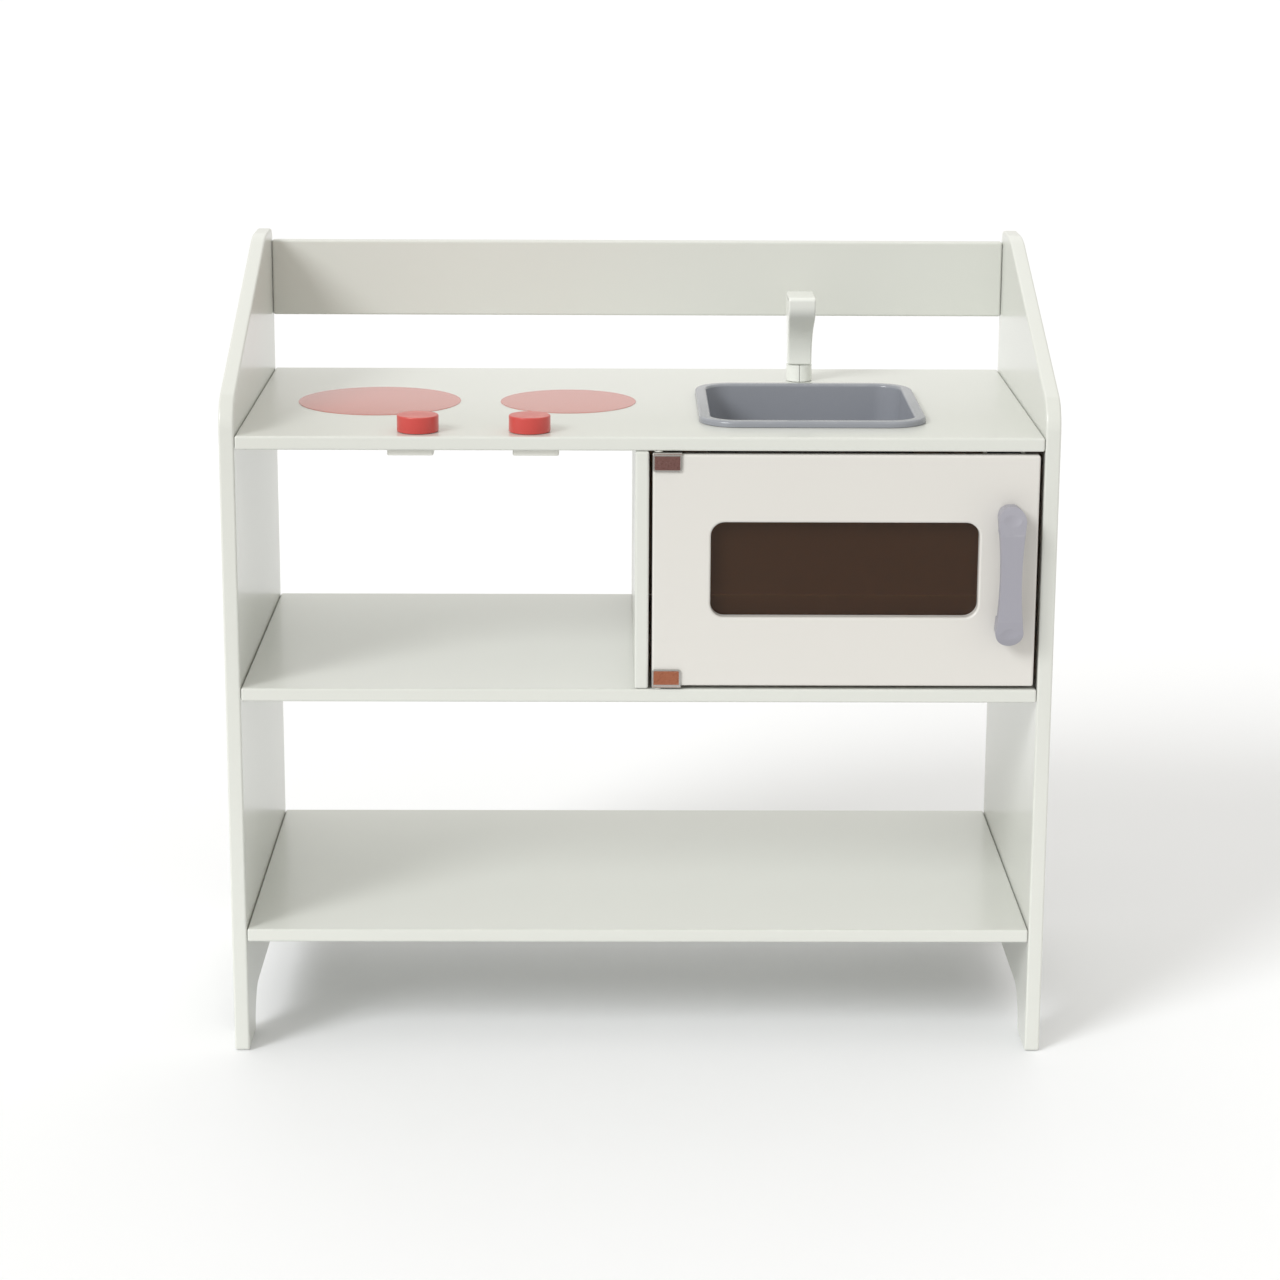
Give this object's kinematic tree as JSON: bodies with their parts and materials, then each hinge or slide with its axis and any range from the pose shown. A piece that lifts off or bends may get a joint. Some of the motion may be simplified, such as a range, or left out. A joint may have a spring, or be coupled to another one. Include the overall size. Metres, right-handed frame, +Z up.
{
  "type": "toy kitchen",
  "caption": "Small painted wooden toy kitchen with two open bays, a hob with turning knobs, a drop-in sink, a swivel tap and an oven whose windowed door swings open.",
  "frame": {"origin": "on the floor under the middle of the whole object, handle included", "axes": "+X to the right as the child stands in front of it, +Y to the back, +Z up"},
  "size_m": [0.6, 0.322, 0.5775],
  "materials": {
    "body_lacquer": "satin off-white lacquer on engineered wood boards",
    "door_lacquer": "satin off-white lacquer, slightly warmer than the carcass",
    "red_paint": "satin red paint on turned wood",
    "hob_print": "thin red print on the lacquer",
    "sink_plastic": "moulded blue-grey plastic, soft sheen",
    "handle_plastic": "moulded lavender-grey plastic",
    "white_plastic": "moulded white plastic",
    "tap_paint": "satin white paint on wood",
    "smoked_acrylic": "smoked brown acrylic sheet, polished",
    "hinge_plating": "bent sheet, copper-coloured face and bright edges",
    "steel": "zinc plated",
    "magnet": "dark sintered magnet"
  },
  "bodies": {
    "cabinet": {"left_side_panel": "body_lacquer", "right_side_panel": "body_lacquer", "worktop": "body_lacquer", "back_rail": "body_lacquer", "middle_shelf": "body_lacquer", "bottom_shelf": "body_lacquer", "divider_panel": "body_lacquer", "oven_back_panel": "body_lacquer", "worktop_screw_left_front": "steel", "worktop_screw_left_back": "steel", "worktop_screw_right_front": "steel", "worktop_screw_right_back": "steel", "middle_shelf_screw_left_front": "steel", "middle_shelf_screw_left_back": "steel", "middle_shelf_screw_right_front": "steel", "middle_shelf_screw_right_back": "steel", "bottom_shelf_screw_left_front": "steel", "bottom_shelf_screw_left_back": "steel", "bottom_shelf_screw_right_front": "steel", "bottom_shelf_screw_right_back": "steel", "back_rail_screw_left": "steel", "back_rail_screw_right": "steel", "divider_screw_front": "steel", "divider_screw_back": "steel", "left_click_spring": "steel", "right_click_spring": "steel", "upper_hinge_bush": "white_plastic", "lower_hinge_bush": "white_plastic", "catch_housing": "white_plastic", "left_click_housing": "white_plastic", "right_click_housing": "white_plastic", "catch_magnet": "magnet", "tap_base_left": "tap_paint", "tap_base_right": "tap_paint", "left_hob_print": "hob_print", "right_hob_print": "hob_print"},
    "door": {"door_panel": "door_lacquer", "door_window": "smoked_acrylic", "door_handle": "handle_plastic", "strike_plate": "steel", "strike_screw": "steel", "upper_hinge_clip": "hinge_plating", "upper_hinge_pin": "steel", "lower_hinge_clip": "hinge_plating", "lower_hinge_pin": "steel", "pane_screw_lower_left": "steel", "pane_screw_lower_right": "steel", "pane_screw_upper_left": "steel", "pane_screw_upper_right": "steel", "handle_screw_lower": "steel", "handle_screw_upper": "steel"},
    "left_knob_body": {"left_knob": "red_paint", "left_knob_axle": "white_plastic"},
    "right_knob_body": {"right_knob": "red_paint", "right_knob_axle": "white_plastic"},
    "tap_body": {"tap_spout": "tap_paint", "tap_spindle": "steel", "tap_washer": "steel", "tap_screw": "steel"},
    "sink_body": {"sink_bowl": "sink_plastic"}
  },
  "joints": [
    {"name": "door_hinge", "type": "hinge", "parent": "cabinet", "child": "door", "pos_m": [0.0132, -0.1356, 0.36775], "axis": [0, 0, -1], "range_deg": [0, 110]},
    {"name": "left_knob_turn", "type": "hinge", "parent": "cabinet", "child": "left_knob_body", "pos_m": [-0.1594, -0.117, 0.4655], "axis": [0, 0, 1], "continuous": true},
    {"name": "right_knob_turn", "type": "hinge", "parent": "cabinet", "child": "right_knob_body", "pos_m": [-0.0792, -0.117, 0.4655], "axis": [0, 0, 1], "continuous": true},
    {"name": "tap_swivel", "type": "hinge", "parent": "cabinet", "child": "tap_body", "pos_m": [0.1265, 0.106, 0.4655], "axis": [0, 0, 1], "continuous": true},
    {"name": "sink_lift", "type": "slide", "parent": "cabinet", "child": "sink_body", "axis": [0, 0, 1], "range_m": [0, 0.075]}
  ]
}
